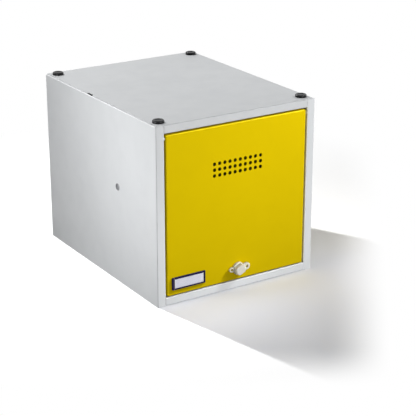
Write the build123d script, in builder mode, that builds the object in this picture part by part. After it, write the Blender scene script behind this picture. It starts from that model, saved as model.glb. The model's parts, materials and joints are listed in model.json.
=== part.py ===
from build123d import *
import os

# Stackable cube locker of folded sheet steel with a flap door hung on pivots at its top.
# Millimetres. X to the right, Y to the rear, Z up; the origin is the centre of the base.

# Carcass, without the stacking knobs
width = 400
depth = 500
height = 400
sheet = 1
bend_inside = 1
bend_outside = bend_inside + sheet
flange = 14
lap_inset = 4
seam = 0.3
overrun = 3

# Front frame round the door
stile_face = 19.7
rail_face = 18.5
reveal = 18
stop_lip = 8
rail_hem = 9

# Door pan
side_gap = 4.2
top_gap = 4.3
bottom_gap = 2
door_depth = 16
door_corner = 3
door_lip = 12
vent_columns = 10
vent_rows = 3
vent_pitch = 13
vent_hole = 8
vent_drop = 95
stiffener_crown = 24
stiffener_brim = 12
stiffener_rise = 10
stiffener_gap = 14

# Pivots at the door's top corners
pivot_setback = 8
pivot_drop = 8
pin_diameter = 6
pin_fit = 0.06
pin_collar_diameter = 9
pin_collar = 2.4
pin_head_diameter = 7.8
pin_head = 2
pin_tip_chamfer = 0.8
bush_wall = 1.5
bush_flange_diameter = 12
bush_flange = 1.4
bush_tail = 5
snap_fit = 0.1
lip_clearance = 13

# Coupling holes in the sides and their blanking plugs
coupling_hole = 14.5
coupling_setback = 166
coupling_height = 222.6
plug_rim_diameter = 16.8
plug_rim = 0.5
plug_skirt = 5.5
plug_wall = 1.2
plug_dish = 3
plug_fit = 0.1

# Slot in the left seam of the top
seam_slot_length = 21
seam_slot_width = 3.5
seam_slot_setback = 287.5
seam_slot_relief = 1.5

# Stacking knobs on the top and the holes for them in the bottom
knob_side_inset = 20.5
knob_end_inset = 24
knob_diameter = 25
knob_height = 6
knob_chamfer = 1.6
knob_dish_diameter = 14
knob_dish = 0.8
knob_stem_diameter = 6
knob_stem_clearance = 0.3
knob_stem_tail = 8
knob_stem_chamfer = 0.8
knob_socket_clearance = 1
knob_washer_diameter = 12
knob_washer = 1.2
knob_nut_across_flats = 10
knob_nut = 5
knob_nut_fit = 0.1

# Cam screw
screw_diameter = 5
screw_fit = 0.05
screw_head_diameter = 9
screw_head = 3
screw_head_edge = 1
screw_recess = 1.6
screw_recess_width = 1.2
screw_recess_length = 5

# Card holder on the door
label_side_inset = 10.3
label_rise = 12.5
label_width = 82.8
label_height = 28.5
label_corner = 1.5
label_edge = 0.6
label_left_border = 6.1
label_right_border = 3.7
label_top_border = 4.2
label_bottom_border = 3
label_pad = 0.8
label_pad_inset = 0.6
card_thickness = 0.5
window_thickness = 0.8
bezel_thickness = 1.3
pocket_lap = 1.2
card_play = 0.3
pocket_play = 0.1

# Padlock turn latch at the bottom of the door
lock_rise = 27.5
boss_diameter = 24
boss_depth = 3.5
collar_diameter = 28.5
collar_depth = 4.5
ear_centre = 18
ear_hole = 6
ear_edge = 0.8
base_ear_radius = 5.5
base_ear_angle = 180
rotor_ear_radius = 8
rotor_ear_thickness = 5.2
rotor_ear_angle = 12
grip_diameter = 25
grip_width = 20
grip_depth = 9.7
grip_angle = 14
grip_edge = 1.2
rotor_gap = 0.3
tube_diameter = 18
tube_reach = 13
tube_hole_clearance = 0.2
tube_thread_clearance = 0.1
nut_across_flats = 24
nut_thickness = 5
lock_washer_diameter = 26
lock_washer_thickness = 1
shaft_diameter = 10
shaft_fit = 0.1
cam_thickness = 2
cam_square = 7
cam_square_play = 0.1
cam_hub_diameter = 18
cam_width = 14
cam_length = 33
cam_corner = 3
cam_clearance = 0.5
cam_washer_diameter = 14
cam_washer_thickness = 1
cam_grip = 0.2
cam_lead = 1
cam_screw_reach = 8

# Rubber buffers on the bottom stop lip
buffer_width = 16
buffer_height = 5.5
buffer_thickness = 1.8
buffer_corner = 1.5
buffer_spread_share = 0.3

# Places worked out from the sizes
left = -width / 2
front = -depth / 2
rear_seat = depth / 2 - sheet
bend_root = bend_outside + bend_inside
wall_front = front + bend_root
wall_rear = rear_seat - bend_root
stile_edge = left + stile_face
rail_end = stile_edge + seam
stop_plane = front + reveal
door_width = width - 2 * (stile_face + side_gap)
door_height = height - 2 * rail_face - top_gap - bottom_gap
door_base = rail_face + bottom_gap
door_top = door_base + door_height
door_side = stile_edge + side_gap
door_face = Plane.XZ.offset(-front)
pivot_y = front + pivot_setback
pivot_z = door_top - pivot_drop
vent_z = door_top - vent_drop
lock_z = door_base + lock_rise
slot_x = left + lap_inset + seam_slot_width / 2
knob_x = left + knob_side_inset
knob_y = front + knob_end_inset
knob_socket = knob_diameter + 2 * knob_socket_clearance
bush_outer = pin_diameter + 2 * (pin_fit + bush_wall)
cam_front = stop_plane + sheet + cam_clearance
collar_face = front - boss_depth - collar_depth
rotor_back = collar_face - rotor_gap


def folded(plane, corners, radii, side):
    """Section of a folded sheet whose outer or inner line runs through the corners."""
    with BuildSketch(plane) as section:
        with BuildLine():
            FilletPolyline(*corners, radius=radii)
            offset(amount=sheet, side=side)
        make_face()
    return section.sketch


def rail_section(outer, inward, lip, lip_bend, side):
    """Front rail of the top or bottom sheet, seen from the side, from its skin to its lip."""
    inner = outer + inward * rail_face
    corners = [
        (wall_front, outer),
        (front, outer),
        (front, inner),
        (stop_plane, inner),
        (stop_plane, inner + lip),
    ]
    return folded(Plane.YZ.offset(rail_end), corners, [bend_outside, bend_outside, lip_bend], side)


def rear_flange_section(outer, inward, side):
    """Rear flange of the top or bottom sheet, seen from the side."""
    corners = [(wall_rear, outer), (rear_seat, outer), (rear_seat, outer + inward * flange)]
    return folded(Plane.YZ.offset(left + flange + seam), corners, bend_outside, side)


def skin_outline(plane, ear_inset):
    """Flat of the top or bottom sheet, with ears at the stiles and the rear flanges."""
    skin_width = width - 2 * lap_inset
    ear_depth = bend_root - ear_inset
    with BuildSketch(plane) as skin:
        with Locations((0, (wall_front + wall_rear) / 2)):
            Rectangle(skin_width, wall_rear - wall_front)
        for hand in (-1, 1):
            edge = hand * skin_width / 2
            inner_edge = (Align.MAX if hand > 0 else Align.MIN)
            with Locations((edge, wall_front)):
                stile_ear = stile_face - lap_inset - ear_inset
                Rectangle(stile_ear, ear_depth, align=(inner_edge, Align.MAX))
            with Locations((edge, wall_rear)):
                rear_ear = flange - lap_inset - ear_inset
                Rectangle(rear_ear, ear_depth, align=(inner_edge, Align.MIN))
    return skin.sketch


def knob_places():
    """The four corners of the stacking pattern, as seen from above."""
    return GridLocations(-2 * knob_x, -2 * knob_y, 2, 2)


# Side panels

with BuildPart() as left_side_panel:
    stile_line = [
        (left, wall_front),
        (left, front),
        (stile_edge, front),
        (stile_edge, stop_plane),
        (stile_edge + stop_lip, stop_plane),
    ]
    stile_bends = [bend_outside, bend_outside, bend_inside]
    extrude(folded(Plane.XY, stile_line, stile_bends, Side.LEFT), amount=height - sheet)

    wall_line = [(left, 0), (left, height - sheet), (left + flange, height - sheet)]
    wall_plane = Plane.XZ.offset(-wall_front)
    extrude(folded(wall_plane, wall_line, bend_outside, Side.RIGHT), amount=wall_front - wall_rear)

    rear_line = [(left, wall_rear), (left, rear_seat), (left + flange, rear_seat)]
    rear_height = height - sheet - bend_outside
    extrude(folded(Plane.XY, rear_line, bend_outside, Side.RIGHT), amount=rear_height)

    # The stop lip ends short of the bottom rail's lip and of the pivot
    lip_root = left + stile_face - sheet - seam
    lip_cut_width = sheet + seam + stop_lip + overrun
    lip_base = rail_face + stop_lip + seam
    lip_top = pivot_z - lip_clearance
    with BuildSketch(Plane.XZ.offset(bend_inside - stop_plane)):
        with Locations((lip_root, 0)):
            Rectangle(lip_cut_width, lip_base, align=Align.MIN)
        with Locations((lip_root, lip_top)):
            Rectangle(lip_cut_width, height - lip_top, align=Align.MIN)
    extrude(amount=-(bend_outside + overrun), mode=Mode.SUBTRACT)

    # The reveal starts above the bottom rail, which leaves room for the knob of the locker below
    with BuildSketch(Plane.XY):
        with Locations((stile_edge + overrun, front + bend_outside)):
            Rectangle(sheet + 2 * overrun, reveal + overrun, align=(Align.MAX, Align.MIN))
    extrude(amount=rail_face, mode=Mode.SUBTRACT)

    # Seat of the hinge bush in the reveal
    with BuildSketch(Plane.YZ.offset(stile_edge + overrun)):
        with Locations((pivot_y, pivot_z)):
            Circle(bush_outer / 2 + snap_fit)
    extrude(amount=-(sheet + 2 * overrun), mode=Mode.SUBTRACT)

    # Wider slot in the top flange, under the slot of the top sheet
    with BuildSketch(Plane.XY.offset(height - sheet)):
        with Locations((slot_x, front + seam_slot_setback)):
            relief = 2 * seam_slot_relief
            Rectangle(seam_slot_width + relief, seam_slot_length + relief)
    extrude(amount=-sheet, mode=Mode.SUBTRACT)

    # Coupling hole in the wall
    with BuildSketch(Plane.YZ.offset(left - overrun)):
        with Locations((front + coupling_setback, coupling_height)):
            Circle(coupling_hole / 2)
    extrude(amount=sheet + 2 * overrun, mode=Mode.SUBTRACT)

with BuildPart() as right_side_panel:
    mirror(left_side_panel.part, about=Plane.YZ)

# Top, bottom and back sheets

with BuildPart() as top_panel:
    extrude(skin_outline(Plane.XY.offset(height), 0), amount=-sheet)
    rail_length = width - 2 * (stile_face + seam)
    extrude(rail_section(height, -1, rail_hem, bend_outside, Side.LEFT), amount=rail_length)
    rear_flange_length = width - 2 * (flange + seam)
    extrude(rear_flange_section(height, -1, Side.RIGHT), amount=rear_flange_length)
    with BuildSketch(Plane.XY.offset(height)):
        with knob_places():
            Circle(knob_stem_diameter / 2 + knob_stem_clearance)
        with Locations((slot_x, front + seam_slot_setback)):
            Rectangle(seam_slot_width, seam_slot_length)
    extrude(amount=-sheet, mode=Mode.SUBTRACT)

with BuildPart() as bottom_panel:
    extrude(skin_outline(Plane.XY, bend_outside), amount=sheet)
    tray_edge = left + sheet
    tray_line = [(tray_edge, flange), (tray_edge, 0), (-tray_edge, 0), (-tray_edge, flange)]
    extrude(folded(wall_plane, tray_line, bend_outside, Side.LEFT), amount=wall_front - wall_rear)
    extrude(rail_section(0, 1, stop_lip, bend_inside, Side.RIGHT), amount=rail_length)
    extrude(rear_flange_section(0, 1, Side.LEFT), amount=rear_flange_length)
    with BuildSketch(Plane.XY):
        with knob_places():
            Circle(knob_socket / 2)
    extrude(amount=sheet, mode=Mode.SUBTRACT)

with BuildPart() as back_panel:
    with BuildSketch(Plane.XZ.offset(-rear_seat)):
        with Locations((0, height / 2)):
            RectangleRounded(width - 2 * lap_inset, height - 2 * lap_inset, bend_inside)
    extrude(amount=-sheet)


def turned(origin, along, corners):
    """Half section of a turned piece, drawn as distances along its axis and out from it."""
    across = Vector(1, 0, 0) if abs(Vector(along).X) < 1 else Vector(0, 1, 0)
    with BuildSketch(Plane(origin, x_dir=along, z_dir=Vector(along).cross(across))) as section:
        with BuildLine():
            Polyline(*corners, close=True)
        make_face()
    return section.sketch


# Blanking plugs in the coupling holes

with BuildPart() as left_hole_plug:
    plug_centre = (left, front + coupling_setback, coupling_height)
    plug_radius = coupling_hole / 2 - plug_fit
    plug_bore = plug_radius - plug_wall
    plug_line = [
        (plug_dish, 0),
        (plug_dish, plug_bore),
        (-plug_rim, plug_radius),
        (-plug_rim, plug_rim_diameter / 2 - plug_rim),
        (0, plug_rim_diameter / 2),
        (0, plug_radius),
        (plug_skirt, plug_radius),
        (plug_skirt, plug_bore),
        (plug_dish + plug_wall, plug_bore),
        (plug_dish + plug_wall, 0),
    ]
    revolve(turned(plug_centre, (1, 0, 0), plug_line), axis=Axis(plug_centre, (1, 0, 0)))

with BuildPart() as right_hole_plug:
    mirror(left_hole_plug.part, about=Plane.YZ)

# Stacking knobs with their washers and nuts


def stacking_knob(x, y):
    """A knob with its foot on the top sheet and its threaded stem through the sheet's hole."""
    foot = (x, y, height)
    radius = knob_diameter / 2
    stem = knob_stem_diameter / 2
    dish = knob_dish_diameter / 2
    tip = -sheet - knob_stem_tail
    knob_line = [
        (tip, 0),
        (tip, stem - knob_stem_chamfer),
        (tip + knob_stem_chamfer, stem),
        (0, stem),
        (0, radius),
        (knob_height - knob_chamfer, radius),
        (knob_height, radius - knob_chamfer),
        (knob_height, dish),
        (knob_height - knob_dish, dish - knob_dish),
        (knob_height - knob_dish, 0),
    ]
    with BuildPart() as knob:
        revolve(turned(foot, (0, 0, 1), knob_line), axis=Axis(foot, (0, 0, 1)))
    return knob


stacking_knob_front_left = stacking_knob(knob_x, knob_y)
stacking_knob_front_right = stacking_knob(-knob_x, knob_y)
stacking_knob_rear_left = stacking_knob(knob_x, -knob_y)
stacking_knob_rear_right = stacking_knob(-knob_x, -knob_y)

with BuildPart() as knob_washers:
    with BuildSketch(Plane.XY.offset(height - sheet)):
        with knob_places():
            Circle(knob_washer_diameter / 2)
            Circle(knob_stem_diameter / 2 + knob_stem_clearance, mode=Mode.SUBTRACT)
    extrude(amount=-knob_washer)

with BuildPart() as knob_nuts:
    with BuildSketch(Plane.XY.offset(height - sheet - knob_washer)):
        with knob_places():
            RegularPolygon(knob_nut_across_flats / 2, 6, major_radius=False)
            Circle(knob_stem_diameter / 2 + knob_nut_fit, mode=Mode.SUBTRACT)
    extrude(amount=-knob_nut)

# Hinge bushes in the stiles and pins in the door's edges

with BuildPart() as left_hinge_bush:
    bush_face = (stile_edge, pivot_y, pivot_z)
    bush_bore = pin_diameter / 2 + pin_fit
    bush_line = [
        (bush_flange, bush_bore),
        (bush_flange, bush_flange_diameter / 2),
        (0, bush_flange_diameter / 2),
        (0, bush_outer / 2),
        (-sheet - bush_tail, bush_outer / 2),
        (-sheet - bush_tail, bush_bore),
    ]
    revolve(turned(bush_face, (1, 0, 0), bush_line), axis=Axis(bush_face, (1, 0, 0)))

with BuildPart() as right_hinge_bush:
    mirror(left_hinge_bush.part, about=Plane.YZ)

with BuildPart() as left_hinge_pin:
    pin_seat = (door_side, pivot_y, pivot_z)
    pin_radius = pin_diameter / 2
    pin_tip = -side_gap - sheet - bush_tail - pin_head
    pin_line = [
        (sheet + pin_head, 0),
        (sheet + pin_head, pin_head_diameter / 2 - pin_tip_chamfer),
        (sheet + pin_head - pin_tip_chamfer, pin_head_diameter / 2),
        (sheet, pin_head_diameter / 2),
        (sheet, pin_radius),
        (0, pin_radius),
        (0, pin_collar_diameter / 2),
        (-pin_collar, pin_collar_diameter / 2),
        (-pin_collar, pin_radius),
        (pin_tip + pin_tip_chamfer, pin_radius),
        (pin_tip, pin_radius - pin_tip_chamfer),
        (pin_tip, 0),
    ]
    revolve(turned(pin_seat, (1, 0, 0), pin_line), axis=Axis(pin_seat, (1, 0, 0)))

with BuildPart() as right_hinge_pin:
    mirror(left_hinge_pin.part, about=Plane.YZ)

# Door: a perforated pan with lips folded inwards at its rear edge

with BuildPart() as door_panel:
    with BuildSketch(door_face):
        with Locations((0, door_base + door_height / 2)):
            RectangleRounded(door_width, door_height, door_corner)
    extrude(amount=-door_depth)
    fillet(door_panel.faces().sort_by(Axis.Y)[0].edges(), radius=bend_outside)
    with BuildSketch(door_face.offset(-door_depth)):
        with Locations((0, door_base + door_height / 2)):
            pan_inside = (door_width - 2 * sheet, door_height - 2 * sheet)
            RectangleRounded(*pan_inside, door_corner - sheet)
    extrude(amount=door_depth - sheet, mode=Mode.SUBTRACT)
    pan_floor = door_panel.faces().filter_by(Axis.Y).sort_by(Axis.Y)[1]
    fillet(pan_floor.edges(), radius=bend_inside)
    with BuildSketch(door_face.offset(-door_depth)):
        with Locations((0, door_base + door_height / 2)):
            RectangleRounded(door_width, door_height, door_corner)
            lip_opening = (door_width - 2 * door_lip, door_height - 2 * door_lip)
            RectangleRounded(*lip_opening, door_corner, mode=Mode.SUBTRACT)
    extrude(amount=sheet)

    # Vent holes and the hole for the lock
    with BuildSketch(door_face):
        with Locations((0, vent_z)):
            with GridLocations(vent_pitch, vent_pitch, vent_columns, vent_rows):
                Circle(vent_hole / 2)
        with Locations((0, lock_z)):
            Circle(tube_diameter / 2 + tube_hole_clearance)
    extrude(amount=-sheet, mode=Mode.SUBTRACT)

    # Holes for the hinge pins through both edges of the pan
    for hand in (-1, 1):
        with BuildSketch(Plane.YZ.offset(hand * door_width / 2)):
            with Locations((pivot_y, pivot_z)):
                Circle(pin_diameter / 2 + pin_fit)
        extrude(amount=-hand * sheet, mode=Mode.SUBTRACT)

with BuildPart() as door_stiffener:
    vent_rows_span = (vent_rows - 1) * vent_pitch + vent_hole
    stiffener_top = vent_z - vent_rows_span / 2 - stiffener_gap
    stiffener_base = lock_z + nut_across_flats / 2 + stiffener_gap
    brim_y = front + sheet
    crown_y = brim_y + stiffener_rise
    hat_line = [
        (-stiffener_crown / 2 - stiffener_brim, brim_y),
        (-stiffener_crown / 2, brim_y),
        (-stiffener_crown / 2, crown_y),
        (stiffener_crown / 2, crown_y),
        (stiffener_crown / 2, brim_y),
        (stiffener_crown / 2 + stiffener_brim, brim_y),
    ]
    hat_bends = [bend_outside, bend_inside, bend_inside, bend_outside]
    hat = folded(Plane.XY.offset(stiffener_base), hat_line, hat_bends, Side.LEFT)
    extrude(hat, amount=stiffener_top - stiffener_base)

# Card holder, from the door's face outwards

label_x = door_side + label_side_inset + label_width / 2
label_z = door_base + label_rise + label_height / 2
opening_width = label_width - label_left_border - label_right_border
opening_height = label_height - label_top_border - label_bottom_border
opening_x = label_x + (label_left_border - label_right_border) / 2
opening_z = label_z + (label_bottom_border - label_top_border) / 2
pocket_width = opening_width + 2 * pocket_lap
pocket_height = opening_height + 2 * pocket_lap
pocket_depth = card_thickness + window_thickness + pocket_play

with BuildPart() as label_adhesive_pad:
    with BuildSketch(door_face):
        with Locations((label_x, label_z)):
            pad_size = (label_width - 2 * label_pad_inset, label_height - 2 * label_pad_inset)
            RectangleRounded(*pad_size, label_corner)
    extrude(amount=label_pad)

with BuildPart() as label_card:
    with BuildSketch(door_face.offset(label_pad)):
        with Locations((opening_x, opening_z)):
            Rectangle(pocket_width - 2 * card_play, pocket_height - 2 * card_play)
    extrude(amount=card_thickness)

with BuildPart() as label_window:
    with BuildSketch(door_face.offset(label_pad + card_thickness)):
        with Locations((opening_x, opening_z)):
            Rectangle(pocket_width - 2 * card_play, pocket_height - 2 * card_play)
    extrude(amount=window_thickness)

with BuildPart() as label_frame:
    with BuildSketch(door_face.offset(label_pad)):
        with Locations((label_x, label_z)):
            RectangleRounded(label_width, label_height, label_corner)
    extrude(amount=pocket_depth + bezel_thickness)
    chamfer(label_frame.faces().sort_by(Axis.Y)[0].edges(), length=label_edge)
    with BuildSketch(door_face.offset(label_pad)):
        with Locations((opening_x, opening_z)):
            Rectangle(pocket_width, pocket_height)
    extrude(amount=pocket_depth, mode=Mode.SUBTRACT)
    with BuildSketch(door_face.offset(label_pad + pocket_depth)):
        with Locations((opening_x, opening_z)):
            Rectangle(opening_width, opening_height)
    extrude(amount=bezel_thickness, mode=Mode.SUBTRACT)

# Turn latch: the base is clamped in the door and the rotor carries the cam


def lock_plane(y, angle):
    """Plane across the lock's axis whose X leans up from the right by the angle."""
    lean = Vector(1, 0, 0).rotate(Axis.Y, -angle)
    return Plane((0, y, lock_z), x_dir=lean, z_dir=(0, -1, 0))


def ear_outline(plane, radius):
    """Ear that reaches from the lock's axis to its padlock hole."""
    with BuildSketch(plane) as ear:
        with Locations((ear_centre / 2, 0)):
            Rectangle(ear_centre, 2 * radius)
        with Locations((ear_centre, 0)):
            Circle(radius)
    return ear.sketch


def ear_hole_outline(plane):
    """Padlock hole of an ear."""
    with BuildSketch(plane) as hole:
        with Locations((ear_centre, 0)):
            Circle(ear_hole / 2)
    return hole.sketch


with BuildPart() as lock_base:
    base_plane = lock_plane(front - boss_depth, base_ear_angle)
    with BuildSketch(base_plane):
        Circle(collar_diameter / 2)
    extrude(amount=collar_depth)
    extrude(ear_outline(base_plane, base_ear_radius), amount=collar_depth)
    chamfer(lock_base.faces().sort_by(Axis.Y)[0].edges(), length=ear_edge)
    with BuildSketch(base_plane):
        Circle(boss_diameter / 2)
    extrude(amount=-boss_depth)
    with BuildSketch(base_plane):
        Circle(tube_diameter / 2)
    extrude(amount=-boss_depth - tube_reach)
    with BuildSketch(base_plane.offset(collar_depth)):
        Circle(shaft_diameter / 2 + shaft_fit)
    extrude(amount=-collar_depth - boss_depth - tube_reach, mode=Mode.SUBTRACT)
    extrude(ear_hole_outline(base_plane), amount=collar_depth, mode=Mode.SUBTRACT)

with BuildPart() as lock_washer:
    with BuildSketch(door_face.offset(-sheet)):
        with Locations((0, lock_z)):
            Circle(lock_washer_diameter / 2)
            Circle(tube_diameter / 2 + tube_hole_clearance, mode=Mode.SUBTRACT)
    extrude(amount=-lock_washer_thickness)

with BuildPart() as lock_nut:
    with BuildSketch(door_face.offset(-sheet - lock_washer_thickness)):
        with Locations((0, lock_z)):
            RegularPolygon(nut_across_flats / 2, 6, major_radius=False)
            Circle(tube_diameter / 2 + tube_thread_clearance, mode=Mode.SUBTRACT)
    extrude(amount=-nut_thickness)

with BuildPart() as lock_rotor:
    rotor_plane = lock_plane(rotor_back, rotor_ear_angle)
    extrude(ear_outline(rotor_plane, rotor_ear_radius), amount=rotor_ear_thickness)
    chamfer(lock_rotor.faces().sort_by(Axis.Y)[0].edges(), length=ear_edge)
    with BuildSketch(rotor_plane):
        Circle(grip_diameter / 2)
        Rectangle(grip_diameter, grip_width, rotation=grip_angle, mode=Mode.INTERSECT)
    extrude(amount=grip_depth)
    chamfer(lock_rotor.faces().sort_by(Axis.Y)[0].edges(), length=grip_edge)
    extrude(ear_hole_outline(rotor_plane), amount=rotor_ear_thickness, mode=Mode.SUBTRACT)
    with BuildSketch(rotor_plane):
        Circle(shaft_diameter / 2)
    extrude(amount=rotor_back - cam_front)
    cam_plane = lock_plane(cam_front, rotor_ear_angle)
    with BuildSketch(cam_plane):
        Rectangle(cam_square, cam_square)
    extrude(amount=cam_grip - cam_thickness)
    with BuildSketch(cam_plane.offset(-cam_thickness)):
        Circle(screw_diameter / 2 + screw_fit)
    extrude(amount=cam_screw_reach + screw_fit, mode=Mode.SUBTRACT)

with BuildPart() as lock_cam:
    with BuildSketch(cam_plane) as cam_outline:
        Rectangle(cam_width, cam_length, align=(Align.CENTER, Align.MIN))
        fillet(cam_outline.vertices().group_by(Axis.Y)[-1], radius=cam_corner)
        Circle(cam_hub_diameter / 2)
        square = cam_square + 2 * cam_square_play
        Rectangle(square, square, mode=Mode.SUBTRACT)
    extrude(amount=-cam_thickness)
    cam_axis = Axis(cam_plane.origin, cam_plane.y_dir)
    chamfer(lock_cam.edges().group_by(cam_axis)[-1].sort_by(Axis.Y)[0], length=cam_lead)

with BuildPart() as cam_washer:
    with BuildSketch(cam_plane.offset(-cam_thickness)):
        Circle(cam_washer_diameter / 2)
        Circle(screw_diameter / 2 + screw_fit, mode=Mode.SUBTRACT)
    extrude(amount=-cam_washer_thickness)

with BuildPart() as cam_screw:
    screw_seat = cam_plane.offset(-cam_thickness - cam_washer_thickness)
    with BuildSketch(screw_seat):
        Circle(screw_head_diameter / 2)
    extrude(amount=-screw_head)
    chamfer(cam_screw.faces().sort_by(Axis.Y)[-1].edges(), length=screw_head_edge)
    with BuildSketch(screw_seat):
        Circle(screw_diameter / 2)
    extrude(amount=cam_washer_thickness + cam_screw_reach)
    with BuildSketch(screw_seat.offset(-screw_head)):
        Rectangle(screw_recess_length, screw_recess_width)
        Rectangle(screw_recess_width, screw_recess_length)
    extrude(amount=screw_recess, mode=Mode.SUBTRACT)

# Rubber buffers on the bottom stop lip

with BuildPart() as door_buffers:
    buffer_z = (door_base + rail_face + stop_lip) / 2
    buffer_x = door_width * buffer_spread_share
    with BuildSketch(Plane.XZ.offset(-stop_plane)):
        with Locations((-buffer_x, buffer_z), (buffer_x, buffer_z)):
            RectangleRounded(buffer_width, buffer_height, buffer_corner)
    extrude(amount=buffer_thickness)

# One file for each piece

pieces = {
    "left_side_panel": left_side_panel,
    "right_side_panel": right_side_panel,
    "top_panel": top_panel,
    "bottom_panel": bottom_panel,
    "back_panel": back_panel,
    "left_hole_plug": left_hole_plug,
    "right_hole_plug": right_hole_plug,
    "stacking_knob_front_left": stacking_knob_front_left,
    "stacking_knob_front_right": stacking_knob_front_right,
    "stacking_knob_rear_left": stacking_knob_rear_left,
    "stacking_knob_rear_right": stacking_knob_rear_right,
    "knob_washers": knob_washers,
    "knob_nuts": knob_nuts,
    "left_hinge_bush": left_hinge_bush,
    "right_hinge_bush": right_hinge_bush,
    "left_hinge_pin": left_hinge_pin,
    "right_hinge_pin": right_hinge_pin,
    "door_panel": door_panel,
    "door_stiffener": door_stiffener,
    "label_adhesive_pad": label_adhesive_pad,
    "label_card": label_card,
    "label_window": label_window,
    "label_frame": label_frame,
    "lock_base": lock_base,
    "lock_washer": lock_washer,
    "lock_nut": lock_nut,
    "lock_rotor": lock_rotor,
    "lock_cam": lock_cam,
    "cam_washer": cam_washer,
    "cam_screw": cam_screw,
    "door_buffers": door_buffers,
}

os.makedirs("parts", exist_ok=True)
for name, piece in pieces.items():
    piece.part.label = name
    export_step(piece.part, f"parts/{name}.step")
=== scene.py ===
import json
import math

import bmesh
import bpy
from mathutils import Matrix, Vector


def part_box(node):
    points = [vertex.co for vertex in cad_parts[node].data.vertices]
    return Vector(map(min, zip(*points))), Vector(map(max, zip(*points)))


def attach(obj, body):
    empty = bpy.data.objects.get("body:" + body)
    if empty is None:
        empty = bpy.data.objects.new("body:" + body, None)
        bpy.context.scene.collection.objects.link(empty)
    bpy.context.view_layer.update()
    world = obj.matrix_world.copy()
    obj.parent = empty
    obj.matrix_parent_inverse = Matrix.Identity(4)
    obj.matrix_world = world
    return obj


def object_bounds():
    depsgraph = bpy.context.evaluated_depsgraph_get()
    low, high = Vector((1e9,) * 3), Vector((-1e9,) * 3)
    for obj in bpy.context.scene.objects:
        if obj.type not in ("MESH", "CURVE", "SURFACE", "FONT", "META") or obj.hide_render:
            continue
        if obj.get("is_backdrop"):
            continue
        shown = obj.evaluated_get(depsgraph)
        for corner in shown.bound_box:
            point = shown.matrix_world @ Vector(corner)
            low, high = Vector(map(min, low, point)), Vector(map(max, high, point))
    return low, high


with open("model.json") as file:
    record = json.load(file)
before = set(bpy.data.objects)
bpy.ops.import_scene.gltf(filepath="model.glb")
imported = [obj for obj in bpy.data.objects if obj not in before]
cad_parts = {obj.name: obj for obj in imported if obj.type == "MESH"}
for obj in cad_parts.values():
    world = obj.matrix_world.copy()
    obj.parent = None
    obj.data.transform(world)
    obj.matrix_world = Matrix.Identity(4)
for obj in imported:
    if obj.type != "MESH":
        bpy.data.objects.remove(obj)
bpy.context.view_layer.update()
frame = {"nodes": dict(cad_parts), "record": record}
nodes = frame["nodes"]
scene = bpy.context.scene
scene.view_settings.view_transform = "Standard"

# Lengths are in metres and powers in watts. X runs right, Y to the back and Z up.
LEFT, RIGHT = (-1, 0, 0), (1, 0, 0)
FRONT, BACK = (0, -1, 0), (0, 1, 0)
DOWN, UP = (0, 0, -1), (0, 0, 1)

# Camera, fitted to the corners of the box in the photo

CAMERA_PLACE = (-1.497, -2.474, 1.187)
CAMERA_AZIMUTH = math.radians(-32.6)
CAMERA_ELEVATION = math.radians(20.48)
CAMERA_SENSOR_MM = 36
CAMERA_LENS_MM = 115.6
CAMERA_NEAREST, CAMERA_FARTHEST = 0.05, 60


def aim(thing, direction):
    """Turns a lamp or the camera so that it looks along the direction."""
    thing.rotation_euler = direction.to_track_quat("-Z", "Y").to_euler()


camera = bpy.data.objects.new("camera", bpy.data.cameras.new("camera"))
camera.data.sensor_width = CAMERA_SENSOR_MM
camera.data.lens = CAMERA_LENS_MM
camera.data.clip_start = CAMERA_NEAREST
camera.data.clip_end = CAMERA_FARTHEST
camera.location = CAMERA_PLACE
aim(camera, Vector((
    -math.sin(CAMERA_AZIMUTH) * math.cos(CAMERA_ELEVATION),
    math.cos(CAMERA_AZIMUTH) * math.cos(CAMERA_ELEVATION),
    -math.sin(CAMERA_ELEVATION),
)))
scene.collection.objects.link(camera)
scene.camera = camera

# Node tools

NOISE = (0.3, 0.7)  # nearly all values of a noise lie between these
EDGE_LEAN = (0.98, 0.65)  # cosines of the leans at which an edge starts and is full


class Nodes:
    """The node tree of a material or the world, with a method for each kind of node.

    Each value that a method takes is a plain value or another node's output.
    """

    def __init__(self, owner):
        owner.use_nodes = True
        self.tree = owner.node_tree

    def new(self, kind):
        """A new node. Its kind is the name of its type after ShaderNode."""
        return self.tree.nodes.new("ShaderNode" + kind)

    def wire(self, node, feeds):
        """Feeds a node's inputs, each by its name or number, and returns the node."""
        for key, value in feeds.items():
            if isinstance(value, bpy.types.NodeSocket):
                self.tree.links.new(value, node.inputs[key])
            else:
                node.inputs[key].default_value = value
        return node

    def maths(self, operation, *values):
        """One operation on numbers."""
        node = self.new("Math")
        node.operation = operation
        return self.wire(node, dict(enumerate(values))).outputs["Value"]

    def times(self, first, second):
        """The product of two numbers."""
        return self.maths("MULTIPLY", first, second)

    def vector_maths(self, operation, *values):
        """All outputs of one operation on vectors."""
        node = self.new("VectorMath")
        node.operation = operation
        return self.wire(node, dict(enumerate(values))).outputs

    def dot(self, value, direction):
        """How far a vector reaches along a direction."""
        return self.vector_maths("DOT_PRODUCT", value, direction)["Value"]

    def span(self, value, low, high, to_low=0.0, to_high=1.0, course="LINEAR"):
        """Carries low..high over to to_low..to_high and stops at the ends."""
        node = self.new("MapRange")
        node.interpolation_type = course
        return self.wire(node, {
            "Value": value,
            "From Min": low,
            "From Max": high,
            "To Min": to_low,
            "To Max": to_high,
        }).outputs["Result"]

    def mix(self, factor, first, second):
        """The first colour where the factor is 0 and the second where it's 1."""
        node = self.new("Mix")
        node.data_type = "RGBA"
        return self.wire(node, {"Factor": factor, 6: first, 7: second}).outputs[2]

    def seen(self):
        """1 for rays that show the background straight, in gloss or through glass."""
        path = self.new("LightPath").outputs
        share = path["Is Camera Ray"]
        for kind in ("Is Glossy Ray", "Is Transmission Ray"):
            share = self.maths("MAXIMUM", share, path[kind])
        return share


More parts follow.
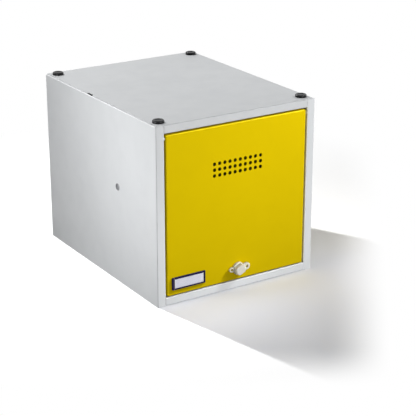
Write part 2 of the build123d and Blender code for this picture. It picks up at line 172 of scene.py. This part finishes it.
class Finish(Nodes):
    """A material: a Principled shader and the nodes that feed it."""

    def __init__(self, name, **sockets):
        self.material = bpy.data.materials.new(name)
        super().__init__(self.material)
        self.place = self.new("TexCoord").outputs["Object"]
        self.feed(**sockets)

    def feed(self, **sockets):
        """Feeds the shader's inputs, with _ for a space, and returns the material."""
        feeds = {name.replace("_", " "): value for name, value in sockets.items()}
        self.wire(self.tree.nodes["Principled BSDF"], feeds)
        return self.material

    def scaled(self, factors):
        """The object's own coordinates, stretched by three factors."""
        return self.vector_maths("MULTIPLY", self.place, factors)["Vector"]

    def noise(self, size, detail=2.0, roughness=0.5, place=None):
        """Noise from 0 to 1, with blobs about size wide."""
        return self.wire(self.new("TexNoise"), {
            "Vector": place or self.place,
            "Scale": 1 / size,
            "Detail": detail,
            "Roughness": roughness,
        }).outputs["Fac"]

    def grains(self, size):
        """Distance to the nearest of many scattered points, about size apart."""
        feeds = {"Vector": self.place, "Scale": 1 / size}
        return self.wire(self.new("TexVoronoi"), feeds).outputs["Distance"]

    def normal(self):
        """The surface's own normal."""
        return self.new("NewGeometry").outputs["Normal"]

    def rounded(self, radius):
        """Normals that turn smoothly round each sharp edge."""
        return self.wire(self.new("Bevel"), {"Radius": radius}).outputs["Normal"]

    def edges(self, soft):
        """1 on sharp edges, where the rounded normals lean away, and 0 on flats."""
        return self.span(self.dot(soft, self.normal()), *EDGE_LEAN)

    def fold(self, pairs):
        """1 amid the bends between each pair of outward directions, and 0 on flats.

        Halfway round a bend, a pair's two shares multiply to a half.
        """
        normal = self.normal()
        total = 0.0
        for first, second in pairs:
            share = self.times(
                self.span(self.dot(normal, first), 0.0, 1.0),
                self.span(self.dot(normal, second), 0.0, 1.0),
            )
            total = self.maths("MULTIPLY_ADD", share, 2.0, total)
        return total

    def bump(self, height, depth, normal=None):
        """Normals of a surface that is raised by height times depth."""
        feeds = {"Height": height, "Distance": depth}
        if normal is not None:
            feeds["Normal"] = normal
        return self.wire(self.new("Bump"), feeds).outputs["Normal"]


# Finishes

# The dark tone of the painted shade on faces of moulded parts that look up
TOP_SHADE_TONE = (0.16, 0.155, 0.14, 1)
BAND_BLUR = 0.0003  # how softly a painted band ends


def powder_coat(name, tones, worn, sheen, painted_highlight_bends=(), darker=(), highlight_share=0.75):
    """Baked powder paint: orange peel, tone drift, thin rubbed edges, a few specks.

    The tones are the two that it drifts between and a deeper one. Worn is the tone of
    rubbed edges and also of a painted highlight on some bends, by the share given last.
    A painted shade darkens other bends. Both kinds of bend are given by the directions
    of the flats beside them.
    """
    first, second, deep = tones
    # The tone of the painted shade on bends that lie in shade
    bend_shade_tone = [0.6 * value for value in deep[:3]] + [1]
    coat = Finish(name, **sheen)
    drift = coat.span(coat.noise(0.16, 3.0, 0.55), *NOISE)
    cloud = coat.noise(0.035)
    clouded = coat.span(cloud, 0.45, 0.8, 0.0, 0.35)
    specks = coat.span(coat.grains(0.011), 0.035, 0.055, 0.16, 0.0)
    soft = coat.rounded(0.0007)
    patches = coat.span(coat.noise(0.012, 4.0), 0.45, 0.75)
    rubbed = coat.times(coat.times(coat.edges(soft), patches), 0.5)
    tone = coat.mix(drift, first, second)
    tone = coat.mix(clouded, tone, deep)
    tone = coat.mix(specks, tone, deep)
    tone = coat.mix(rubbed, tone, worn)
    # Painted highlight: the worn tone on bends that catch the light
    if painted_highlight_bends:
        tone = coat.mix(coat.times(coat.fold(painted_highlight_bends), highlight_share), tone, worn)
    # Painted shade: a darker tone on bends that lie in shade
    if darker:
        tone = coat.mix(coat.times(coat.fold(darker), 0.45), tone, bend_shade_tone)
    peel = coat.noise(0.0011, 1.5)
    relief = coat.maths("ADD", peel, coat.times(coat.noise(0.0045, 1.0), 1.6))
    return coat.feed(
        Base_Color=tone,
        Roughness=coat.maths(
            "ADD",
            coat.span(cloud, *NOISE, 0.40, 0.50),
            coat.span(peel, *NOISE, -0.03, 0.03),
        ),
        Normal=coat.bump(relief, 0.000022, soft),
    )


def moulded(name, tones, roughness, grain, depth, strip=None, top_shade=0.0, **sockets):
    """Moulded plastic: fine eroded grain, slight tone drift, softened and rubbed edges.

    The tones are the two that it drifts between and the one of its rubbed edges.
    Grain is the width of the grain's blobs, and depth is how far they rise.
    A strip is (from x, to x, colour): a band of another tone.
    The last named argument is the share of a painted shade, in a dark tone, on faces
    that look up.
    """
    first, second, worn = tones
    plastic = Finish(name, **sockets)
    drift = plastic.span(plastic.noise(0.006, 3.0), *NOISE)
    soft = plastic.rounded(0.0004)
    patches = plastic.span(plastic.noise(0.003, 3.0), 0.4, 0.7)
    rubbed = plastic.times(plastic.times(plastic.edges(soft), patches), 0.6)
    skin = plastic.noise(grain)
    tone = plastic.mix(drift, first, second)
    tone = plastic.mix(rubbed, tone, worn)
    if strip is not None:
        start, end, band = strip
        across = plastic.dot(plastic.place, RIGHT)
        inside = plastic.times(
            plastic.span(across, start, start + BAND_BLUR),
            plastic.span(across, end - BAND_BLUR, end, 1.0, 0.0),
        )
        uneven = plastic.span(plastic.noise(0.004, 3.0), 0.2, 0.6, 0.6, 1.0)
        tone = plastic.mix(plastic.times(inside, uneven), tone, band)
    # Painted shade: faces that look up take a darker tone
    if top_shade:
        facing_up = plastic.dot(plastic.normal(), UP)
        top_shade_share = plastic.span(facing_up, 0.25, 0.95, 0.0, top_shade)
        tone = plastic.mix(top_shade_share, tone, TOP_SHADE_TONE)
    return plastic.feed(
        Base_Color=tone,
        Roughness=plastic.span(skin, *NOISE, roughness - 0.06, roughness + 0.06),
        Normal=plastic.bump(skin, depth, soft),
    )


def plated(name):
    """Bright zinc plate: faint turned lines, stains and dulled edges."""
    bright, stained = (0.62, 0.63, 0.66, 1), (0.50, 0.50, 0.47, 1)
    dulled = (0.75, 0.75, 0.77, 1)
    zinc = Finish(name, Metallic=1.0)
    stain = zinc.noise(0.005, 4.0, 0.6)
    lines = zinc.noise(0.0006, place=zinc.scaled((1.0, 0.15, 1.0)))
    soft = zinc.rounded(0.0003)
    rubbed = zinc.times(zinc.edges(soft), 0.5)
    tone = zinc.mix(zinc.span(stain, 0.35, 0.7), bright, stained)
    return zinc.feed(
        Base_Color=zinc.mix(rubbed, tone, dulled),
        Roughness=zinc.span(stain, *NOISE, 0.26, 0.42),
        Normal=zinc.bump(lines, 0.00002, soft),
    )


def paper(name):
    """Card stock: fine fibres, slight tone drift and a painted highlight at each end."""
    first, second = (0.84, 0.84, 0.93, 1), (0.88, 0.88, 0.95, 1)
    fibre, band = (0.76, 0.76, 0.86, 1), (0.99, 0.99, 1, 1)
    end_highlight_width = 0.0045
    low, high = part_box("label_card")
    centre = (low.x + high.x) / 2
    end_highlight_start = (high.x - low.x) / 2 - end_highlight_width
    card = Finish(name, Specular_IOR_Level=0.2)
    drift = card.span(card.noise(0.02), *NOISE)
    fibres = card.noise(0.0012, 5.0, 0.7, card.scaled((0.25, 1.0, 1.0)))
    across = card.maths("SUBTRACT", card.dot(card.place, RIGHT), centre)
    from_centre = card.maths("ABSOLUTE", across)
    # Painted highlight: a whiter band along each end of the card
    in_end_highlight = card.span(from_centre, end_highlight_start - BAND_BLUR, end_highlight_start + BAND_BLUR)
    tone = card.mix(drift, first, second)
    tone = card.mix(card.span(fibres, 0.55, 0.8, 0.0, 0.3), tone, fibre)
    return card.feed(
        Base_Color=card.mix(in_end_highlight, tone, band),
        Roughness=card.span(fibres, *NOISE, 0.75, 0.88),
        Normal=card.bump(fibres, 0.00004),
    )


def clear_sheet(name):
    """Thin clear plastic: see-through face on, glossy at a slant, with hairlines."""
    first, second = (0.80, 0.81, 0.84, 1), (0.86, 0.87, 0.89, 1)
    ior = 1.46
    face_on = 0.03  # the Fresnel node gives this or more
    clear = Finish(name, IOR=ior)
    clear.material.surface_render_method = "BLENDED"
    slant = clear.wire(clear.new("Fresnel"), {"IOR": ior}).outputs["Fac"]
    hair = clear.noise(0.0008, 3.0, place=clear.scaled((0.05, 1.0, 1.0)))
    ripple = clear.noise(0.012, 1.0)
    drift = clear.span(ripple, *NOISE)
    return clear.feed(
        Base_Color=clear.mix(drift, first, second),
        Alpha=clear.span(slant, face_on, 1.0, 0.04, 1.0),
        Roughness=clear.span(hair, 0.5, 0.8, 0.05, 0.2),
        Normal=clear.bump(ripple, 0.00003),
    )


GREY = (  # tones, worn and sheen
    [(0.585, 0.600, 0.612, 1), (0.610, 0.624, 0.636, 1), (0.560, 0.574, 0.588, 1)],
    (0.83, 0.84, 0.855, 1),
    {"Specular_IOR_Level": 0.35},
)
# A greyish strip across the label frame's left end
label_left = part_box("label_frame")[0].x
grey_strip = (label_left + 0.0028, label_left + 0.0058, (0.12, 0.10, 0.13, 1))

finishes = {
    # The grey paint has a painted shade on bends between faces that look up and to the
    # front
    "grey_paint": powder_coat("grey_paint", *GREY, darker=((UP, FRONT),)),
    # The door's paint has painted highlights on the bends from its front to its top and
    # sides
    "yellow_paint": powder_coat(
        "yellow_paint",
        [
            (0.690, 0.500, 0.0004, 1),
            (0.715, 0.522, 0.0005, 1),
            (0.665, 0.478, 0.0003, 1),
        ],
        (0.82, 0.64, 0.005, 1),
        {"Specular_IOR_Level": 0.25, "Specular_Tint": (1.0, 0.85, 0.0, 1)},
        painted_highlight_bends=((UP, FRONT), (LEFT, FRONT), (RIGHT, FRONT)),
    ),
    "black_plastic": moulded(
        "black_plastic",
        [
            (0.006, 0.0065, 0.0075, 1),
            (0.010, 0.0105, 0.012, 1),
            (0.035, 0.035, 0.038, 1),
        ],
        roughness=0.34, grain=0.0009, depth=0.00004, Specular_IOR_Level=0.16,
    ),
    "plug_plastic": moulded(
        "plug_plastic",
        [(0.29, 0.30, 0.31, 1), (0.33, 0.34, 0.35, 1), (0.45, 0.45, 0.46, 1)],
        roughness=0.42, grain=0.0008, depth=0.00003,
    ),
    "nylon": moulded(
        "nylon",
        [(0.38, 0.37, 0.31, 1), (0.43, 0.42, 0.35, 1), (0.50, 0.49, 0.42, 1)],
        roughness=0.45, grain=0.0007, depth=0.00003, Subsurface_Weight=0.1,
    ),
    "label_plastic": moulded(
        "label_plastic",
        [(0.002, 0.0015, 0.045, 1), (0.003, 0.002, 0.055, 1), (0.012, 0.010, 0.07, 1)],
        roughness=0.32, grain=0.0006, depth=0.00002, strip=grey_strip,
        Specular_IOR_Level=0.12,
    ),
    # The lock, with a painted shade on its faces that look up
    "lock_plastic": moulded(
        "lock_plastic",
        [(0.74, 0.71, 0.62, 1), (0.80, 0.77, 0.69, 1), (0.88, 0.87, 0.82, 1)],
        roughness=0.46, grain=0.0008, depth=0.00004, top_shade=0.5,
        Subsurface_Weight=0.08, Specular_IOR_Level=0.3,
    ),
    "buffer_rubber": moulded(
        "buffer_rubber",
        [(0.020, 0.020, 0.021, 1), (0.030, 0.030, 0.031, 1), (0.05, 0.05, 0.05, 1)],
        roughness=0.72, grain=0.0005, depth=0.00006,
    ),
    "adhesive_foam": moulded(
        "adhesive_foam",
        [(0.30, 0.30, 0.30, 1), (0.42, 0.42, 0.41, 1), (0.5, 0.5, 0.5, 1)],
        roughness=0.9, grain=0.0004, depth=0.0002,
    ),
    "zinc_plate": plated("zinc_plate"),
    "card": paper("card"),
    "clear_plastic": clear_sheet("clear_plastic"),
}
# Copies of the grey paint for three panels, with painted highlights on some of their bends
# and, on the left side, a painted shade along its front bend
own_finishes = {
    "left_side_panel": powder_coat(
        "grey_paint_left", *GREY,
        painted_highlight_bends=((RIGHT, FRONT), (LEFT, UP)), darker=((LEFT, FRONT),),
    ),
    "right_side_panel": powder_coat(
        "grey_paint_right", *GREY, painted_highlight_bends=((LEFT, FRONT), (RIGHT, UP))
    ),
    "bottom_panel": powder_coat(
        "grey_paint_bottom", *GREY, painted_highlight_bends=((DOWN, FRONT),), highlight_share=0.4
    ),
}
for part in frame["record"]["subparts"]:
    finish = own_finishes.get(part["node"], finishes[part["material_slot"]])
    for material_slot in nodes[part["node"]].material_slots:
        material_slot.material = finish

# Screw threads, which the solids leave plain

THREAD_STEPS = 28  # points on each turn
THREAD_FOOT = 0.42  # half the width of the ridge's foot, in pitches
THREAD_CREST = 0.15  # the crest's width as a share of the foot's
THREAD_SINK = 0.0001  # how deep the foot sits in the shank
STEM_THREAD = {"length": 0.0022, "radius": 0.003, "pitch": 0.0008, "depth": 0.00018}
STEM_MARGIN = 0.0008  # from the end of a knob's stem to its thread
TUBE_THREAD = {"radius": 0.009, "pitch": 0.0015, "depth": 0.00028}
TUBE_MARGIN = 0.0009  # from the lock's nut, and from the tube's end, to its thread


def thread(name, base, axis, length, radius, pitch, depth, body, slot):
    """A helical ridge round a plain shank, from base along axis."""
    along = Vector(axis).normalized()
    across = along.orthogonal().normalized()
    other = along.cross(across)
    foot = along * (pitch * THREAD_FOOT)
    crest = foot * THREAD_CREST
    count = int(length / pitch * THREAD_STEPS)
    mesh = bmesh.new()
    rings = []
    for i in range(count + 1):
        angle = 2 * math.pi * i / THREAD_STEPS
        rise = depth * min(1.0, 2 * i / THREAD_STEPS, 2 * (count - i) / THREAD_STEPS)
        outward = across * math.cos(angle) + other * math.sin(angle)
        centre = Vector(base) + along * (pitch * i / THREAD_STEPS)
        inner = outward * (radius - THREAD_SINK)
        outer = outward * (radius + rise)
        rings.append([
            mesh.verts.new(centre - foot + inner),
            mesh.verts.new(centre - crest + outer),
            mesh.verts.new(centre + crest + outer),
            mesh.verts.new(centre + foot + inner),
        ])
    for here, there in zip(rings, rings[1:]):
        for k in range(len(here)):
            n = (k + 1) % len(here)
            mesh.faces.new((here[k], there[k], there[n], here[n]))
    mesh.faces.new(rings[0][::-1])
    mesh.faces.new(rings[-1])
    bmesh.ops.recalc_face_normals(mesh, faces=mesh.faces)
    data = bpy.data.meshes.new(name)
    mesh.to_mesh(data)
    mesh.free()
    data.materials.append(finishes[slot])
    piece = bpy.data.objects.new(name, data)
    scene.collection.objects.link(piece)
    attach(piece, body)


for corner in ("front_left", "front_right", "rear_left", "rear_right"):
    low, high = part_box("stacking_knob_" + corner)
    middle = (low + high) / 2
    thread(
        "stem_thread_" + corner, (middle.x, middle.y, low.z + STEM_MARGIN), UP,
        body="carcass", slot="black_plastic", **STEM_THREAD,
    )

low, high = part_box("lock_nut")
tube_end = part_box("lock_base")[1].y
middle = (low + high) / 2
thread(
    "lock_tube_thread", (middle.x, high.y + TUBE_MARGIN, middle.z), BACK,
    length=tube_end - high.y - 2 * TUBE_MARGIN,
    body="door", slot="lock_plastic", **TUBE_THREAD,
)

# World and floor

BACKGROUND = 1.0  # brightness of the background where it's seen
AMBIENT = 0.08  # brightness of the world where it lights
FLOOR_CORNERS = [(-14, -14, 0), (14, -14, 0), (14, 14, 0), (-14, 14, 0)]
FLOOR_PLAIN = (0.90, 0.90, 0.90, 1)  # the floor's colour to the camera
FLOOR_DULL = (0.085, 0.085, 0.085, 1)  # its colour as it lights the locker
# The floor turns into the background between two distances from the origin: all round,
# and along two level directions in which the photo's shadow ends sooner.
FADE_ROUND = (0.62, 1.05)
FADE_ALONG = (
    ((0.786, -0.626, 0), (0.35, 0.49)),
    ((-0.539, -0.842, 0), (0.49, 0.67)),
)

world = bpy.data.worlds.new("studio")
scene.world = world
sky = Nodes(world)
strength = sky.wire(sky.new("Mix"), {"Factor": sky.seen(), 2: AMBIENT, 3: BACKGROUND})
sky.wire(sky.tree.nodes["Background"], {
    "Color": (1, 1, 1, 1),
    "Strength": strength.outputs[0],
})

floor_mesh = bpy.data.meshes.new("floor")
floor_mesh.from_pydata(FLOOR_CORNERS, [], [(0, 1, 2, 3)])
floor = bpy.data.objects.new("floor", floor_mesh)
scene.collection.objects.link(floor)
floor_look = bpy.data.materials.new("floor")
floor_mesh.materials.append(floor_look)
ground = Nodes(floor_look)
ground.tree.nodes.remove(ground.tree.nodes["Principled BSDF"])
spot = ground.new("TexCoord").outputs["Object"]
distance = ground.vector_maths("LENGTH", spot)["Value"]
near = ground.span(distance, *FADE_ROUND, 1.0, 0.0, "SMOOTHSTEP")
for direction, fade in FADE_ALONG:
    distance = ground.dot(spot, direction)
    near = ground.times(near, ground.span(distance, *fade, 1.0, 0.0, "SMOOTHSTEP"))


def shader(kind, feeds):
    """The output of a new shader node in the floor's tree."""
    return ground.wire(ground.new(kind), feeds).outputs[0]


white = shader("Emission", {"Strength": BACKGROUND})
plain = shader("BsdfDiffuse", {"Color": FLOOR_PLAIN})
darker = shader("BsdfDiffuse", {"Color": FLOOR_DULL})
shown = shader("MixShader", {0: near, 1: white, 2: plain})
surface = shader("MixShader", {0: ground.seen(), 1: darker, 2: shown})
ground.wire(ground.tree.nodes["Material Output"], {"Surface": surface})
floor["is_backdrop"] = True

# Lamps


def softbox(name, place, target, size, power, receivers=None):
    """A square area lamp at place that shines at target, unseen by the camera.

    It lights everything, or the things of the collection receivers alone.
    """
    lamp = bpy.data.objects.new(name, bpy.data.lights.new(name, "AREA"))
    lamp.data.size = size
    lamp.data.energy = power
    lamp.location = place
    lamp.visible_camera = False
    aim(lamp, Vector(target) - Vector(place))
    scene.collection.objects.link(lamp)
    if receivers is not None:
        lamp.light_linking.receiver_collection = receivers
    return lamp


def group(name, things):
    """A collection of things that a lamp lights."""
    lit = bpy.data.collections.new(name)
    for thing in things:
        lit.objects.link(thing)
    return lit


def locker_but(*left_out):
    """The locker's objects, apart from those given."""
    return [
        thing for thing in scene.objects
        if thing.type == "MESH" and thing != floor and thing not in left_out
    ]


side, right_side = nodes["left_side_panel"], nodes["right_side_panel"]
top, bottom, door = nodes["top_panel"], nodes["bottom_panel"], nodes["door_panel"]
floor_only = group("floor_only", [floor])
side_only = group("side_only", [side])
top_only = group("top_only", [top])
door_only = group("door_only", [door])
front_frame = group("front_frame", [bottom, side, right_side])
all_but_side = group("all_but_side", [floor] + locker_but(side))
locker_but_door = group("locker_but_door", locker_but(door))
locker_but_faces = group("locker_but_faces", locker_but(door, top))

KEY = (1.2, -0.85, 1.45), (0, -0.25, 0.05)
LOW_FRONT = (0.3, -1.5, 0.15), (0.05, -0.25, 0.22)
LAMPS = (  # name, place, target, size, power and receivers
    # The left side
    ("side_top", (-0.5, 0.05, 0.60), (-0.2, 0, 0.35), 0.25, 0.5, side_only),
    ("side_near", (-0.70, -0.22, 0.30), (-0.2, -0.15, 0.25), 0.25, 2.42, None),
    # All round
    ("top_left", (-0.8, 0.3, 1.6), (0, 0, 0.2), 0.6, 1.6, None),
    ("right_fill", (2.4, -0.1, 0.5), (0, 0, 0.2), 1.0, 10, None),
    ("back_fill", (-1.0, 2.4, 0.5), (0, 0, 0.2), 1.0, 12, all_but_side),
    ("backlight", (-0.7, 2.0, 2.0), (0, 0, 0.2), 0.1, 32, None),
    # All of the locker but its door, or but its door and top
    ("front", *LOW_FRONT, 0.4, 10.5, locker_but_door),
    ("key", *KEY, 0.2, 28.3, locker_but_faces),
    # The top with its front rail
    ("key_top", *KEY, 0.2, 9.1, top_only),
    ("top_lift", (-1.0, 0.2, 2.2), (0, 0, 0.4), 0.5, 14.0, top_only),
    ("top_rail", (0.35, -1.5, 0.38), (0.05, -0.25, 0.38), 0.3, 4.2, top_only),
    # The bottom rail and the stiles
    ("rail_card", (-0.05, -0.55, 0.03), (-0.05, -0.25, 0), 0.15, 0.45, front_frame),
    ("stile_card", (0.25, -0.80, 0.30), (0.2, -0.25, 0.3), 0.15, 0.15, front_frame),
    # The door
    ("key_door", *KEY, 0.2, 40.3, door_only),
    ("front_door", *LOW_FRONT, 0.4, 0.84, door_only),
    ("door_high", (0.4, -0.7, 0.6), (0.1, -0.25, 0.3), 0.2, 1.1, door_only),
    ("door_middle", (-0.15, -0.6, 0.5), (-0.1, -0.25, 0.3), 0.2, 0.21, door_only),
    ("door_low", (-0.1, -0.8, 0.1), (-0.1, -0.25, 0.15), 0.2, 0.83, door_only),
    # The floor, for the locker's shadow to the front and right
    ("floor_back", (-0.7, 2.0, 2.0), (0, -0.2, 0), 0.05, 72, floor_only),
)
FLOOR_LAMPS = (  # name, place, target, size, power and colour
    ("floor_left", (-0.15, -0.34, 0.2), (-0.15, -0.6, 0), 0.2, 0.18, (0.80, 0.84, 1)),
    ("floor_middle", (0, -0.34, 0.15), (0, -0.6, 0), 0.2, 0.10, (0.48, 0.62, 1)),
    ("floor_right", (0.25, -0.32, 0.2), (0.3, -0.5, 0), 0.2, 0.14, (0.67, 0.74, 1)),
    ("floor_far", (0.5, -0.3, 0.4), (0.3, -0.2, 0), 0.2, 0.83, (1, 0.95, 0.82)),
    ("floor_tip", (-0.05, -0.62, 0.2), (-0.05, -0.62, 0), 0.2, 0.06, (0.80, 0.86, 1)),
)
# A long, narrow lamp low over the floor, along the locker's front
STRIP = "floor_strip", (-0.02, -0.262, 0.035), (-0.02, -0.262, 0), 0.34, 0.018
STRIP_WIDTH = 0.015
STRIP_COLOUR = (0.70, 0.78, 1)

for settings in LAMPS:
    softbox(*settings)
for *settings, colour in FLOOR_LAMPS:
    softbox(*settings, floor_only).data.color = colour
strip = softbox(*STRIP, floor_only)
strip.data.shape = "RECTANGLE"
strip.data.size_y = STRIP_WIDTH
strip.data.color = STRIP_COLOUR

low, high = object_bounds()
